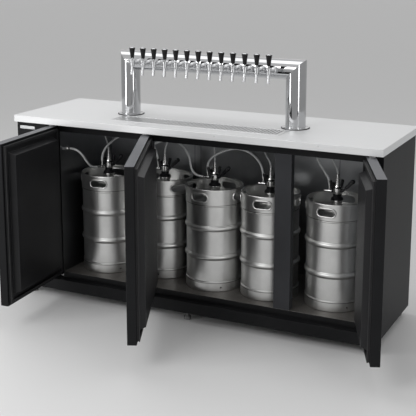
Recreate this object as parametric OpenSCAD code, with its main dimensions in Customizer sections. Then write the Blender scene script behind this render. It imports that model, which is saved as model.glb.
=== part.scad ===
// Five keg draft beer dispenser: solid door cooler with a thirteen tap pass-through tower
// Millimetres, +Z up, front towards -Y, origin on the floor under the middle front foot

/* [Worktop] */
// Length of the worktop
top_w = 2234; // [2100:1:2500]
// Depth of the worktop
top_d = 700; // [680:1:800]
// Thickness of the worktop's folded edge
top_t = 38; // [30:1:60]
// Height of the worktop's upper face above the floor
bar_h = 1096; // [1080:1:1200]
// Radius of the worktop's upright corners
top_corner_r = 6; // [2:1:20]

/* [Cabinet] */
// Height of the levelling feet
foot_h = 50; // [30:1:80]
// Diameter of a foot's pad
foot_d = 42; // [30:1:60]
// Distance of the feet from the base's edges
foot_in = 46; // [35:1:80]
// Set-back of the door frame behind the worktop's front edge
frame_set = 70; // [66:1:100]
// Set-back of the base rail behind the worktop's front edge
base_set = 15; // [5:1:40]
// Set-back of the cabinet's ends
side_set = 15; // [5:1:30]
// Set-back of the cabinet's back
back_set = 10; // [5:1:20]
// Height of the base rail
base_h = 66; // [50:1:68]
// Thickness of the insulated floor
floor_t = 34; // [30:1:40]
// Thickness of the insulated roof
roof_t = 38; // [30:1:44]
// Thickness of the insulated back wall
wall_t = 46; // [40:1:60]
// Thickness of the insulated right end wall
end_wall_t = 62; // [50:1:70]
// Thickness of the wall beside the machine compartment
bulkhead_t = 54; // [45:1:60]
// Height of the header rail over the doors
header_h = 50; // [46:1:60]
// Depth of the header rail
header_d = 46; // [30:1:60]
// Inside width of the machine compartment
machine_w = 207; // [195:1:260]
// Width of a front mullion
mullion_w = 92; // [80:1:110]
// Depth of a front mullion
mullion_d = 44; // [20:1:50]
// Thickness of the sheet metal covers
sheet_t = 2; // [1.5:0.1:3]

/* [Doors] */
// Thickness of a door's insulated body
door_t = 48; // [40:1:50]
// Thickness of the door seal
seal_t = 14.7; // [12:0.1:16]
// Width of the door seal
seal_w = 14; // [10:1:18]
// Distance of the seal from the door's edges
seal_set = 14; // [13:1:20]
// Lap of a door over a mullion
mullion_lap = 24; // [18:1:28]
// Lap of the left door over the machine compartment's wall
bulkhead_lap = 34; // [26:1:36]
// Lap of the right door over the end wall
end_lap = 24; // [18:1:40]
// Gap over a door, which holds the hinge plate
door_top_gap = 10; // [8:1:14]
// Height of a door's lower edge above the cabinet's base
door_bottom = 92; // [88:1:96]
// Height that the door's inner panel stands out
plug_h = 40; // [20:1:46]
// Distance of the inner panel from the door's edges
plug_set = 58; // [50:1:70]
// Radius of the door's upright edges
door_r = 4; // [2:1:8]
// Opening angle of the left door as it stands
left_angle = 86; // [0:1:110]
// Opening angle of the middle door as it stands
middle_angle = 66; // [0:1:110]
// Opening angle of the right door as it stands
right_angle = 113; // [0:1:115]

/* [Hinges] */
// Radius of a hinge pin
hinge_pin_r = 4; // [3:0.5:6]
// Radial clearance of a hinge pin
hinge_fit = 0.05; // [0.02:0.01:0.09]
// Distance of the pin from the door's hinge edge
hinge_in = 12; // [10:1:13]
// Distance of the pin behind the door's outer face
hinge_back = 20; // [16:1:24]
// Thickness of a hinge plate
hinge_t = 4; // [3:0.5:5]
// Width of a hinge plate
hinge_w = 40; // [30:1:50]
// Length of a hinge pin in the door
hinge_pin_l = 14; // [10:1:20]

/* [Tap tower] */
// Distance between the two columns
tower_w = 1041; // [1000:1:1200]
// Height of the crossbar's axis above the worktop
tower_h = 320; // [280:1:400]
// Diameter of the tower's tube
tube_d = 112; // [96:1:120]
// Wall of the tower's tube
tube_wall = 3; // [2:0.5:5]
// Diameter of a column's flange
flange_d = 150; // [140:1:154]
// Thickness of a column's flange
flange_t = 6; // [4:1:10]
// Number of taps
taps = 13; // [2:1:13]
// Distance between two taps
tap_pitch = 70; // [60:1:70]
// Distance of the handles in front of the crossbar's axis
tap_reach = 148; // [140:1:170]

/* [Drip tray] */
// Length of the drip tray
tray_l = 1030; // [900:1:1100]
// Width of the drip tray
tray_w = 144; // [110:1:150]
// Depth of the drip tray
tray_deep = 22; // [12:1:26]
// Distance of the tray's centre in front of the columns
tray_front = 158; // [156:1:170]
// Width of a slot in the grid
grid_slot = 8; // [4:1:10]

/* [Kegs] */
// Gap between the two kegs that stand closest
keg_gap = 4.4; // [2:0.1:40]
// Room over a keg for its coupler and hoses
head_room = 276; // [250:1:320]
// Height of the keg's upper collar
collar_h = 91; // [80:1:110]
// Height of the keg's lower collar
skirt_h = 50; // [40:1:70]
// Length of a hand hole
hand_hole_l = 104; // [80:1:120]
// Height of a hand hole
hand_hole_h = 38; // [30:1:44]
// Number of hand holes
hand_holes = 4; // [2:1:4]
// Radius of the keg's neck
neck_r = 27; // [24:1:34]

/* [Couplers] */
// Radius of a coupler's body
coupler_r = 23; // [18:1:30]
// Height of a coupler's body
coupler_h = 88; // [80:1:100]
// Length of a coupler's lever
lever_l = 78; // [60:1:90]
// Raised angle of a lever as it stands
lever_rise = 45; // [0:1:60]
// Diameter of a gas hose
gas_hose_d = 13; // [8:0.5:14]
// Diameter of a beer hose
beer_hose_d = 9.5; // [6:0.5:13]

/* [Hidden] */
$fn = 48;
// Smoothness of large turned shapes
fine = 96;
// Overrun of every cut
cut = 2;
// Gap between pieces that don't touch
gap = 0.3;

// Worktop and cabinet planes
top_under = bar_h - top_t;
front = -base_set - foot_in;
mid_y = front + top_d / 2;
left_end = -top_w / 2 + side_set;
right_end = top_w / 2 - side_set;
frame_y = front + frame_set;
back_y = front + top_d - back_set;
base_y = front + base_set;
base_top = foot_h + base_h;
floor_z = base_top + floor_t;
head_z = top_under - header_h;
roof_z = top_under - roof_t;
cold_back = back_y - wall_t;
bulkhead_x = left_end + machine_w;
cold_left = bulkhead_x + bulkhead_t;
cold_right = right_end - end_wall_t;
cold_w = cold_right - cold_left;
cold_d = cold_back - frame_y;

// Mullion centres, as shares of the cold room's width
mullion_shares = [0.2992, 0.7469];
mullion_x = [for (s = mullion_shares) cold_left + s * cold_w];

// Doors: hinge pin place, width, hand and opening angle
door_z0 = foot_h + door_bottom;
door_z1 = top_under - door_top_gap;
door_h = door_z1 - door_z0;
seal_gap = 0.3;
door_in_y = frame_y - seal_t - seal_gap;
door_out_y = door_in_y - door_t;
pin_y = door_out_y + hinge_back;
left_edges = [cold_left - bulkhead_lap, mullion_x[0] - mullion_w / 2 + mullion_lap];
middle_edges = [mullion_x[0] + mullion_w / 2 - mullion_lap, mullion_x[1] - mullion_w / 2 + mullion_lap];
right_edges = [mullion_x[1] + mullion_w / 2 - mullion_lap, cold_right + end_lap];
left_pin = left_edges[0] + hinge_in;
middle_pin = middle_edges[0] + hinge_in;
right_pin = right_edges[1] - hinge_in;
left_w = left_edges[1] - left_edges[0];
middle_w = middle_edges[1] - middle_edges[0];
right_w = right_edges[1] - right_edges[0];

// Door grip pocket
grip_l = 160;
grip_w = 24;
grip_deep = 18;
grip_set = 16;

// Tower
tube_r = tube_d / 2;
bar_z = bar_h + tower_h;
line_hole_r = 40;
flange_bolt_r = 3;
flange_bolts = 4;
flange_pcd = (flange_d + tube_d) / 2;
tap_first = -(taps - 1) / 2 * tap_pitch;

// Tap parts
shank_r = 11;
shank_in = 30;
shank_collar_r = 18;
shank_collar_l = 12;
shank_fit = 0.3;
shank_face = tube_r + shank_collar_l;
nut_r = 17;
nut_l = 16;
barrel_r = 10.5;
valve_r = 13;
valve_low = 12;
valve_taper = 10;
handle_ball_r = 9;
handle_ball_z = 10;
bonnet_r = 15;
bonnet_top = 20;
spout_r = 8;
spout_drop = 64;
spout_tilt = 10;
handle_top = 97;
handle_black_l = 53;
handle_wide_r = 16.5;
handle_slim_r = 9.5;
handle_cap_l = 12;
handle_stem_r = 5;

// Drip tray
tray_wall = 1.5;
tray_lip = 8;
tray_lip_t = 1.5;
tray_y = mid_y - tray_front;
pocket_fit = 1;
grid_t = 3;
grid_rest = 12;
grid_pitch = 20;
drain_r = 12;
drain_l = 14;

// Kegs, as wide as their places and as high as the room allow
keg_x_shares = [0.0984, 0.2855, 0.4769, 0.6600, 0.8644];
keg_y_shares = [0.408, 0.514, 0.394, 0.395, 0.411];
keg_turns = [-82, -32, -97, -84, -92];
kegs = len(keg_x_shares);
keg_x = [for (s = keg_x_shares) cold_left + s * cold_w];
keg_y = [for (s = keg_y_shares) frame_y + s * cold_d];
keg_d = min([for (i = [1 : kegs - 1]) keg_x[i] - keg_x[i - 1]]) - keg_gap;
keg_h = roof_z - floor_z - head_room;
keg_r = keg_d / 2;
hoop_r = 9;
keg_shell_r = keg_r - hoop_r;
collar_set = 5;
collar_r = keg_r - collar_set;
collar_wall = 4;
rim_r = 5;
hoop_shares = [0.337, 0.62];
dome_r = 480;
dome_top = 58;
neck_top = 18;
neck_z = floor_z + keg_h - neck_top;

// Couplers
coupler_foot_r = 33;
coupler_foot_h = 16;
lever_z = 58;
lever_x = 31;
lever_w = 16;
lever_t = 8;
lever_hub_r = 7;
lever_pin_r = 3;
lever_fit = 0.05;
cheek_t = 4;
cheek_gap = 0.4;
tail_r = 5;
nut_hex_r = 15;
inlet_z = 50;
inlet_r = 8;
relief_r = 8;
relief_l = 46;
relief_step = 2;
relief_cap_l = 12;
relief_turn = 145;
relief_tilt = 48;

// Machine parts
comp_r = 74;
comp_h = 150;
coil_t = 40;
fan_r = 80;
fan_hub_r = 20;
fan_t = 24;
fan_shaft_r = 4;
fan_fit = 0.05;
evap_l = 620;
evap_h = 104;
fin_pitch = 22;
fin_t = 4;

// Small sizes of the drip tray, door and hinge pieces
tray_ledge = 6;
plug_gap = 2;
plug_skin = 3;
plug_draft = 12;
seal_groove = 3;
hinge_leg = 16;
hinge_play = 2;
foot_pad_h = 14;
foot_stem_r = 8;

// Louvres of the machine compartment's cover
louvres = 16;
louvre_set = 22;
louvre_low = 110;
louvre_pitch = 34;
louvre_out = 9;
louvre_t = 1.5;
louvre_rise = 14;

// Small sizes of the kegs, couplers and hose fittings
hand_hole_low = 47;
skirt_hole_r = 5;
neck_flange_t = 5;
coupler_cap_h = 16;
grip_share = 0.4;
lever_grip = 2;
lever_knob_r = 13;
tail_nut_h = 14;
tail_neck_share = 0.7;
beer_tail_l = 52;
gas_tail_l = 28;
roof_tail_l = 30;
tee_x = 45;
tee_tail_l = 28;
tee_r = 9;
hose_sides = 8;
hose_lead = 8;
bend_steps = 5;
gas_socket_l = 28;
gas_socket_in = 55;
gas_socket_low = 120;
gas_lean = 0.344;
gas_lean_back = 0.047;

// Small sizes of the shanks, faucets and handles
shank_end = 10;
shank_nut_l = 8;
shank_nut_r = 16;
shank_nut_gap = 3;
nut_step = 6;
bonnet_h = 12;
bonnet_slot = 12.4;
spout_bore_r = 5;
spout_bore_l = 52;
ferrule_r = 6.5;
ferrule_h = 5;
cap_lip = 1;
cap_rim_h = 4;
cap_sphere_r = 22;

// Small sizes of the compressor, coils and fans
comp_y = 130;
comp_plate_t = 6;
comp_seam = 3;
comp_seam_h = 8;
comp_foot_share = 0.84;
comp_dome_share = 1.25;
comp_drop_share = 0.9;
comp_foot_r = 9;
comp_foot_h = 14;
cond_h = 330;
cond_side = 14;
cond_back = 12;
coil_tube_r = 5;
coil_in = 10;
fan_play = 6;
fan_blade_count = 5;
fan_blade_pitch = 30;
fan_blade_w = 34;
fan_blade_t = 2;
rail_t = 6;
rail_h = 30;
evap_share = 0.5;
evap_gap = 60;
cond_l = machine_w - 2 * cond_side;
cond_pos = [(left_end + bulkhead_x) / 2, frame_y + cond_back, base_top];
evap_pos = [cold_left + evap_share * cold_w, cold_back - evap_gap, roof_z - evap_h];

// Fittings of the hoses: ends of the tees' side and upper tails, tails on the couplers and sockets
lift = roof_z - neck_z;
gas_turns = [60, 0, 0, 0, 0];
tee_side = [for (i = [0 : kegs - 1]) [keg_x[i] - (tee_x + tee_tail_l) * cos(gas_turns[i]),
    keg_y[i] - (tee_x + tee_tail_l) * sin(gas_turns[i]), neck_z + inlet_z]];
tee_top = [for (i = [0 : kegs - 1]) [keg_x[i] - tee_x * cos(gas_turns[i]),
    keg_y[i] - tee_x * sin(gas_turns[i]), neck_z + inlet_z + gas_tail_l]];
beer_low = [for (i = [0 : kegs - 1]) [keg_x[i], keg_y[i], neck_z + coupler_h + beer_tail_l]];
beer_leans = [[-0.06, -0.02], [0.095, -0.038], [-0.006, -0.012], [-0.136, 0.01], [-0.103, -0.018]];
beer_high = [for (i = [0 : kegs - 1]) [keg_x[i] + beer_leans[i][0] * keg_d,
    keg_y[i] + beer_leans[i][1] * keg_d, roof_z - roof_tail_l]];
gas_source = [cold_left + gas_socket_l, frame_y + gas_socket_in, roof_z - gas_socket_low];
gas_high = [keg_x[4] - gas_lean * keg_d, keg_y[4] - gas_lean_back * keg_d, roof_z - roof_tail_l];

// A route from a to b, straight out of each, with places between them as shares of a keg's
// diameter about its axis and of the room over its neck
function route(i, a, a_way, places, b, b_way) = concat([a, a + hose_lead * a_way],
    [for (p = places) [keg_x[i] + p[0] * keg_d, keg_y[i] + p[1] * keg_d, neck_z + p[2] * lift]],
    [b + hose_lead * b_way, b]);
function side_way(i) = [-cos(gas_turns[i]), -sin(gas_turns[i]), 0];
up = [0, 0, 1];

// Routes of the gas hoses: from the bulkhead from keg to keg, and from the roof to the last
gas_routes = [
    route(0, gas_source, [1, 0, 0], [
        [-0.347, -0.523, 0.579], [-0.279, -0.508, 0.535], [-0.234, -0.481, 0.466],
        [-0.208, -0.445, 0.388], [-0.192, -0.402, 0.312], [-0.178, -0.35, 0.243],
        [-0.158, -0.287, 0.19]],
        tee_side[0], side_way(0)),
    route(0, tee_top[0], up, [
        [-0.062, -0.109, 0.374], [-0.041, -0.095, 0.476], [0.006, -0.068, 0.578],
        [0.082, -0.015, 0.68], [0.182, 0.061, 0.772], [0.311, 0.144, 0.833], [0.453, 0.208, 0.847],
        [0.588, 0.241, 0.799], [0.709, 0.244, 0.701], [0.806, 0.223, 0.575], [0.87, 0.196, 0.439],
        [0.9, 0.18, 0.34]],
        tee_top[1], up),
    route(1, tee_side[1], side_way(1), [
        [-0.344, -0.006, 0.197], [-0.409, -0.021, 0.272], [-0.432, -0.044, 0.374],
        [-0.409, -0.074, 0.476], [-0.344, -0.106, 0.558], [-0.238, -0.138, 0.639],
        [-0.091, -0.168, 0.728], [0.071, -0.191, 0.796], [0.232, -0.209, 0.83],
        [0.371, -0.221, 0.803], [0.482, -0.227, 0.721], [0.556, -0.23, 0.609],
        [0.6, -0.227, 0.497], [0.615, -0.221, 0.381], [0.638, -0.215, 0.279],
        [0.703, -0.206, 0.201]],
        tee_side[2], side_way(2)),
    route(2, tee_top[2], up, [
        [-0.102, -0.038, 0.457], [-0.024, -0.106, 0.569], [0.08, -0.16, 0.662],
        [0.201, -0.187, 0.744], [0.332, -0.19, 0.806], [0.47, -0.171, 0.836],
        [0.606, -0.135, 0.813], [0.722, -0.091, 0.734], [0.808, -0.047, 0.614],
        [0.862, -0.012, 0.468]],
        tee_top[3], up),
    route(4, gas_high, -up, [
        [-0.325, -0.044, 0.758], [-0.285, -0.037, 0.667], [-0.24, -0.027, 0.58],
        [-0.193, -0.016, 0.494], [-0.152, -0.005, 0.405]],
        tee_top[4], up),
];

// Routes of the beer hoses: a soft double bend up to the roof
function eased(t) = t * t * (3 - 2 * t);
function bend(a, b) = concat([a - hose_lead * up],
    [for (k = [0 : bend_steps]) let (t = k / bend_steps)
        [a[0] + eased(t) * (b[0] - a[0]), a[1] + eased(t) * (b[1] - a[1]), a[2] + t * (b[2] - a[2])]],
    [b + hose_lead * up]);
beer_routes = [for (i = [0 : kegs - 1]) bend(beer_low[i] + hose_lead * up, beer_high[i] - hose_lead * up)];

// A slab with round upright edges, from its low corner
module round_slab(size, r) {
    union() {
        translate([r, 0, 0]) cube([size[0] - 2 * r, size[1], size[2]]);
        translate([0, r, 0]) cube([size[0], size[1] - 2 * r, size[2]]);
        for (x = [r, size[0] - r], y = [r, size[1] - r])
            translate([x, y, 0]) cylinder(r = r, h = size[2]);
    }
}

// A box between two corners
module box(low, high) {
    translate(low) cube(high - low);
}

module worktop() {
    color("gainsboro")
    difference() {
        translate([-top_w / 2, front, top_under]) round_slab([top_w, top_d, top_t], top_corner_r);
        box([-tray_l / 2 - pocket_fit, tray_y - tray_w / 2 - pocket_fit, bar_h - tray_deep - pocket_fit],
            [tray_l / 2 + pocket_fit, tray_y + tray_w / 2 + pocket_fit, bar_h + cut]);
        translate([0, tray_y, top_under - cut]) cylinder(r = drain_r + pocket_fit, h = top_t);
        for (s = [-1, 1]) translate([s * tower_w / 2, mid_y, top_under - cut])
            cylinder(r = line_hole_r, h = top_t + 2 * cut);
    }
}

// Pressed tray with a lip on the worktop, a ledge for the grid and a drain
module drip_tray() {
    inner = [tray_l - 2 * tray_wall, tray_w - 2 * tray_wall];
    well = [inner[0] - 2 * tray_ledge, inner[1] - 2 * tray_ledge];
    ledge_z = bar_h - grid_t;
    color("silver")
    difference() {
        union() {
            translate([-tray_l / 2, tray_y - tray_w / 2, bar_h - tray_deep])
                cube([tray_l, tray_w, tray_deep]);
            translate([-tray_l / 2 - tray_lip, tray_y - tray_w / 2 - tray_lip, bar_h])
                round_slab([tray_l + 2 * tray_lip, tray_w + 2 * tray_lip, tray_lip_t], tray_lip);
            translate([0, tray_y, bar_h - tray_deep - drain_l]) cylinder(r = drain_r, h = drain_l);
        }
        translate([-inner[0] / 2, tray_y - inner[1] / 2, ledge_z])
            cube([inner[0], inner[1], tray_deep]);
        translate([-well[0] / 2, tray_y - well[1] / 2, bar_h - tray_deep + tray_wall])
            cube([well[0], well[1], tray_deep]);
        translate([0, tray_y, bar_h - tray_deep - drain_l - cut])
            cylinder(r = drain_r - tray_wall, h = drain_l + tray_deep);
    }
}

// Slotted grid that lies in the tray
module drip_grid() {
    size = [tray_l - 2 * tray_wall - 2 * pocket_fit, tray_w - 2 * tray_wall - 2 * pocket_fit, grid_t];
    slot_l = size[1] - 2 * grid_rest;
    slots = floor((size[0] - 2 * grid_rest) / grid_pitch);
    color("darkgray")
    translate([0, tray_y, bar_h - grid_t]) difference() {
        translate([-size[0] / 2, -size[1] / 2, 0]) cube(size);
        for (i = [0 : slots - 1]) translate([(i - (slots - 1) / 2) * grid_pitch, 0, -cut]) {
            translate([-grid_slot / 2, -slot_l / 2, 0]) cube([grid_slot, slot_l, grid_t + 2 * cut]);
            for (s = [-1, 1]) translate([0, s * slot_l / 2, 0])
                cylinder(d = grid_slot, h = grid_t + 2 * cut);
        }
    }
}

module roof_panel() {
    color("dimgray")
    difference() {
        box([cold_left, frame_y + header_d, roof_z], [cold_right, cold_back, top_under]);
        for (s = [-1, 1]) translate([s * tower_w / 2, mid_y, roof_z - cut])
            cylinder(r = line_hole_r, h = roof_t + 2 * cut);
        translate([0, tray_y, roof_z - cut]) cylinder(r = drain_r + pocket_fit, h = roof_t + 2 * cut);
    }
}

module back_panel() {
    color("gray") box([bulkhead_x, cold_back, base_top], [cold_right, back_y, top_under]);
}

module left_bulkhead() {
    color("gray") box([bulkhead_x, frame_y, base_top], [cold_left, cold_back, top_under]);
}

// Folded sheet over the end and back of the machine compartment
module left_side_cover() {
    color("black")
    difference() {
        box([left_end, frame_y, base_top], [bulkhead_x, back_y, top_under]);
        box([left_end + sheet_t, frame_y - cut, base_top - cut],
            [bulkhead_x + cut, back_y - sheet_t, top_under + cut]);
    }
}

module right_wall() {
    color("black") box([cold_right, frame_y, base_top], [right_end, back_y, top_under]);
}

module floor_panel() {
    color("dimgray") box([cold_left, frame_y, base_top], [cold_right, cold_back, floor_z]);
}

module header_rail() {
    color("black") box([cold_left, frame_y, head_z], [cold_right, frame_y + header_d, top_under]);
}

module base_frame() {
    color("black") box([left_end, base_y, foot_h], [right_end, back_y, base_top]);
}

module mullions() {
    color("gray")
    for (x = mullion_x)
        box([x - mullion_w / 2, frame_y, floor_z], [x + mullion_w / 2, frame_y + mullion_d, head_z]);
}

// Front cover of the machine compartment with pressed louvres
module louvre_panel() {
    panel_l = bulkhead_x - left_end;
    louvre_l = panel_l - 2 * louvre_set;
    first_z = base_top + louvre_low;
    color("black")
    difference() {
        union() {
            box([left_end, base_y, base_top], [bulkhead_x, frame_y, top_under]);
            for (i = [0 : louvres - 1])
                translate([left_end + louvre_set, base_y, first_z + i * louvre_pitch])
                    rotate([90, 0, 90]) linear_extrude(louvre_l)
                        polygon([[0, 0], [-louvre_out, 0], [-louvre_out, louvre_t], [0, louvre_rise]]);
        }
        box([left_end + sheet_t, base_y + sheet_t, base_top + sheet_t],
            [bulkhead_x - sheet_t, frame_y + cut, top_under - sheet_t]);
        for (i = [0 : louvres - 1])
            translate([left_end + louvre_set + sheet_t, base_y, first_z + i * louvre_pitch])
                rotate([90, 0, 90]) linear_extrude(louvre_l - 2 * sheet_t)
                    polygon([[sheet_t + cut, -cut], [-louvre_out + sheet_t, -cut],
                        [-louvre_out + sheet_t, 0], [0, louvre_rise - louvre_t],
                        [sheet_t + cut, louvre_rise - louvre_t]]);
    }
}

module feet() {
    xs = [left_end + foot_in, 0, right_end - foot_in];
    ys = [base_y + foot_in, back_y - foot_in];
    color("dimgray")
    for (x = xs, y = ys) translate([x, y, 0]) {
        cylinder(d = foot_d, h = foot_pad_h);
        translate([0, 0, foot_pad_h]) cylinder(d1 = foot_d, d2 = foot_d / 2, h = foot_pad_h);
        translate([0, 0, foot_pad_h]) cylinder(r = foot_stem_r, h = foot_h - foot_pad_h);
    }
}

// Door pieces stand closed with the hinge pin at the origin and the door towards +X
module door_body(w) {
    difference() {
        translate([-hinge_in, -hinge_back, door_z0]) round_slab([w, door_t, door_h], door_r);
        for (z = [door_z0 - cut, door_z1 - hinge_pin_l])
            translate([0, 0, z]) cylinder(r = hinge_pin_r + hinge_fit, h = hinge_pin_l + cut);
        translate([w - hinge_in - grip_set - grip_w, -hinge_back - cut, door_z0 + (door_h - grip_l) / 2])
            cube([grip_w, grip_deep + cut, grip_l]);
    }
}

// Moulded inner panel, drawn in towards its face
module door_plug(w) {
    y0 = door_t - hinge_back;
    flat_w = w - 2 * seal_set - 2 * seal_w - 2 * plug_gap;
    flat_h = door_h - 2 * seal_set - 2 * seal_w - 2 * plug_gap;
    plug_w = w - 2 * plug_set;
    plug_tall = door_h - 2 * plug_set;
    mid_x = w / 2 - hinge_in;
    mid_z = (door_z0 + door_z1) / 2;
    translate([mid_x, y0, mid_z]) {
        translate([-flat_w / 2, 0, -flat_h / 2]) cube([flat_w, plug_skin, flat_h]);
        hull() {
            translate([-plug_w / 2, plug_skin, -plug_tall / 2]) cube([plug_w, plug_skin, plug_tall]);
            translate([-plug_w / 2 + plug_draft, plug_h - plug_skin, -plug_tall / 2 + plug_draft])
                cube([plug_w - 2 * plug_draft, plug_skin, plug_tall - 2 * plug_draft]);
        }
    }
}

module door_seal(w) {
    y0 = door_t - hinge_back;
    out = [w - 2 * seal_set, seal_t, door_h - 2 * seal_set];
    translate([w / 2 - hinge_in - out[0] / 2, y0, door_z0 + seal_set]) difference() {
        cube(out);
        translate([seal_w, -cut, seal_w])
            cube([out[0] - 2 * seal_w, seal_t + 2 * cut, out[2] - 2 * seal_w]);
        // Groove round the seal, which makes its two lips
        translate([-cut, seal_t / 2 - seal_groove / 2, -cut])
            difference() {
                cube([out[0] + 2 * cut, seal_groove, out[2] + 2 * cut]);
                translate([cut + seal_groove, -cut, cut + seal_groove])
                    cube([out[0] - 2 * seal_groove, seal_groove + 2 * cut, out[2] - 2 * seal_groove]);
            }
    }
}

// Puts a door piece on its pin, turned to the angle at which it stands
module hang_left(x, open) {
    translate([x, pin_y, 0]) rotate([0, 0, -open]) children();
}

module hang_right(x, open) {
    translate([x, pin_y, 0]) rotate([0, 0, open]) mirror([1, 0, 0]) children();
}

module left_door_shell() { color("black") hang_left(left_pin, left_angle) door_body(left_w); }
module left_door_liner() { color("dimgray") hang_left(left_pin, left_angle) door_plug(left_w); }
module left_door_seal() { color("gray") hang_left(left_pin, left_angle) door_seal(left_w); }
module middle_door_shell() { color("black") hang_left(middle_pin, middle_angle) door_body(middle_w); }
module middle_door_liner() { color("dimgray") hang_left(middle_pin, middle_angle) door_plug(middle_w); }
module middle_door_seal() { color("gray") hang_left(middle_pin, middle_angle) door_seal(middle_w); }
module right_door_shell() { color("black") hang_right(right_pin, right_angle) door_body(right_w); }
module right_door_liner() { color("dimgray") hang_right(right_pin, right_angle) door_plug(right_w); }
module right_door_seal() { color("gray") hang_right(right_pin, right_angle) door_seal(right_w); }

// Angle plate with a pin, screwed to the frame's front by a leg from z = leg[0] to leg[1]
module hinge_bracket(x, z, upper, leg) {
    translate([x, 0, z]) mirror([0, 0, upper ? 1 : 0]) {
        box([-hinge_w / 2, frame_y - hinge_t, leg[0]], [hinge_w / 2, frame_y, leg[1]]);
        box([-hinge_w / 2, pin_y, -hinge_t], [hinge_w / 2, frame_y - hinge_t, 0]);
        translate([0, pin_y, -hinge_t]) {
            cylinder(r = hinge_w / 2, h = hinge_t);
            cylinder(r = hinge_pin_r, h = hinge_t + hinge_play + hinge_pin_l - gap);
        }
    }
}

module hinge_brackets() {
    color("silver")
    for (x = [left_pin, middle_pin, right_pin]) {
        hinge_bracket(x, door_z0 - hinge_play, false, [-hinge_leg, 0]);
        hinge_bracket(x, door_z1 + hinge_play, true, [-hinge_t, seal_set]);
    }
}

// One stamped keg, standing on the origin
module keg() {
    shell_top = keg_h - collar_h;
    difference() {
        union() {
            translate([0, 0, skirt_h]) cylinder(r = keg_shell_r, h = shell_top - skirt_h, $fn = fine);
            for (s = hoop_shares) translate([0, 0, s * keg_h])
                rotate_extrude($fn = fine) translate([keg_shell_r, 0]) circle(r = hoop_r);
            // Lower collar with a rolled foot
            difference() {
                translate([0, 0, rim_r])
                    cylinder(r = collar_r, h = skirt_h + collar_wall - rim_r, $fn = fine);
                translate([0, 0, -cut])
                    cylinder(r = collar_r - collar_wall, h = skirt_h - collar_wall + cut, $fn = fine);
            }
            // Upper collar with a rolled rim
            difference() {
                translate([0, 0, shell_top - collar_wall])
                    cylinder(r = collar_r, h = collar_h + collar_wall - rim_r, $fn = fine);
                translate([0, 0, shell_top])
                    cylinder(r = collar_r - collar_wall, h = collar_h + cut, $fn = fine);
            }
            for (z = [rim_r, keg_h - rim_r]) translate([0, 0, z])
                rotate_extrude($fn = fine) translate([collar_r - rim_r, 0]) circle(r = rim_r);
            // Domed head and neck
            intersection() {
                translate([0, 0, keg_h - dome_top - dome_r]) sphere(r = dome_r, $fn = fine);
                translate([0, 0, shell_top - collar_h])
                    cylinder(r = collar_r - collar_wall, h = 2 * collar_h, $fn = fine);
            }
            translate([0, 0, shell_top]) cylinder(r = neck_r, h = collar_h - neck_top);
            translate([0, 0, keg_h - neck_top - neck_flange_t])
                cylinder(r = neck_r + neck_flange_t, h = neck_flange_t);
        }
        for (i = [0 : hand_holes - 1]) rotate([0, 0, i * 360 / hand_holes]) {
            translate([neck_r + coupler_foot_r, 0, keg_h - hand_hole_low]) {
                translate([0, -(hand_hole_l - hand_hole_h) / 2, -hand_hole_h / 2])
                    cube([keg_r, hand_hole_l - hand_hole_h, hand_hole_h]);
                for (t = [-1, 1]) translate([0, t * (hand_hole_l - hand_hole_h) / 2, 0])
                    rotate([0, 90, 0]) cylinder(d = hand_hole_h, h = keg_r);
            }
            // Drain hole of the lower collar
            rotate([0, 0, 180 / hand_holes]) translate([keg_shell_r / 2, 0, skirt_h / 2])
                rotate([0, 90, 0]) cylinder(r = skirt_hole_r, h = keg_r);
        }
    }
}

module keg_at(i) {
    color("lightsteelblue") translate([keg_x[i], keg_y[i], floor_z]) rotate([0, 0, keg_turns[i]]) keg();
}

module keg_1() { keg_at(0); }
module keg_2() { keg_at(1); }
module keg_3() { keg_at(2); }
module keg_4() { keg_at(3); }
module keg_5() { keg_at(4); }

// Coupler on a keg's neck, with the lever's cheeks and pin on its right
module coupler_body(gas_turn) {
    cylinder(r = coupler_foot_r, h = coupler_foot_h);
    translate([0, 0, coupler_foot_h]) cylinder(r1 = coupler_foot_r, r2 = coupler_r, h = coupler_foot_h / 2);
    cylinder(r = coupler_r, h = coupler_h - coupler_cap_h);
    translate([0, 0, coupler_h - coupler_cap_h])
        cylinder(r1 = coupler_r, r2 = nut_hex_r, h = coupler_cap_h);
    for (s = [-1, 1])
        translate([0, s * (lever_w / 2 + cheek_gap + cheek_t / 2) - cheek_t / 2, lever_z]) {
            translate([0, 0, -lever_hub_r]) cube([lever_x, cheek_t, 2 * lever_hub_r]);
            translate([lever_x, 0, 0]) rotate([-90, 0, 0]) cylinder(r = lever_hub_r, h = cheek_t);
        }
    pin_l = lever_w + 2 * cheek_gap + 2 * cheek_t;
    translate([lever_x, -pin_l / 2, lever_z]) rotate([-90, 0, 0]) cylinder(r = lever_pin_r, h = pin_l);
    // Spigot of the gas inlet
    translate([0, 0, inlet_z]) rotate([0, 0, gas_turn]) rotate([0, -90, 0])
        cylinder(r = inlet_r, h = coupler_r + inlet_r);
    // Relief valve, turned away from the hose and raised
    translate([0, 0, inlet_z]) rotate([0, 0, relief_turn]) rotate([0, relief_tilt, 0]) {
        cylinder(r = relief_r, h = relief_l);
        translate([0, 0, relief_l]) cylinder(r = relief_r + relief_step, h = relief_cap_l);
    }
}

module coupler_bodies() {
    color("black")
    for (i = [0 : kegs - 1]) translate([keg_x[i], keg_y[i], neck_z]) coupler_body(gas_turns[i]);
}

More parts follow.
